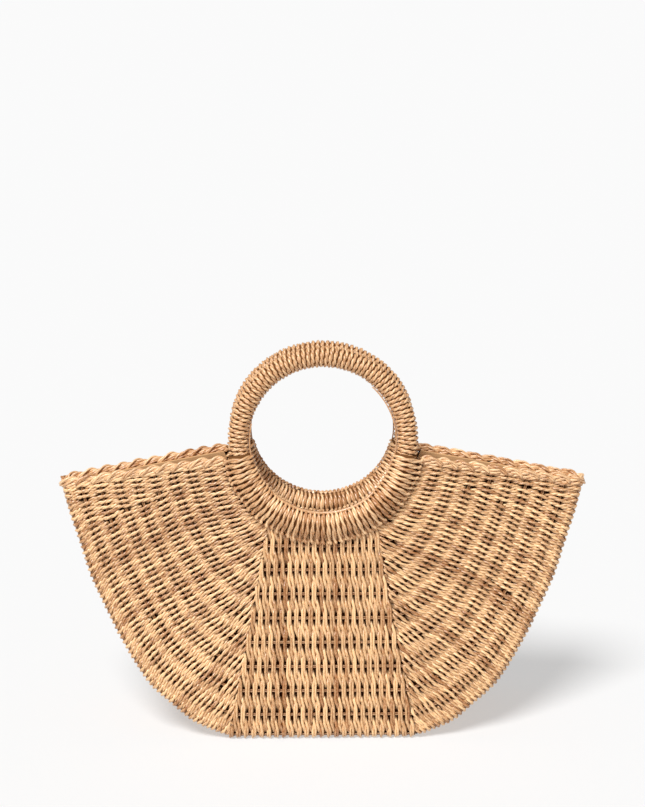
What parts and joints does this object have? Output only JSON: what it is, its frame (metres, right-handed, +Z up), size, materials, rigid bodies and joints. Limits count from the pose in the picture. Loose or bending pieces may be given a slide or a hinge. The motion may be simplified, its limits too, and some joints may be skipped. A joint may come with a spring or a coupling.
{
  "type": "straw basket bag",
  "caption": "Half-moon basket bag woven of natural paper straw, wide at the base and narrow at the mouth, with round wound ring handles and a cloth lining.",
  "frame": {"origin": "on the ground, at the middle of the flat base", "axes": "+X along the bag's width, +Y from the front panel to the back panel, +Z up through the ring handles"},
  "size_m": [0.4278, 0.118, 0.3142],
  "materials": {
    "straw_weave": "woven strands of twisted paper straw, matt with a faint sheen on the ridges",
    "straw_cord": "two-ply paper straw cord, closely wound and stitched, matt",
    "lining_cloth": "plain tan cotton cloth with a stitched hem"
  },
  "bodies": {
    "root": {"woven_body": "straw_weave", "lining": "lining_cloth", "ring_handle_front": "straw_cord", "ring_handle_back": "straw_cord", "binding_front": "straw_cord", "binding_back": "straw_cord", "rim_braid_left": "straw_cord", "rim_braid_right": "straw_cord"}
  },
  "joints": []
}
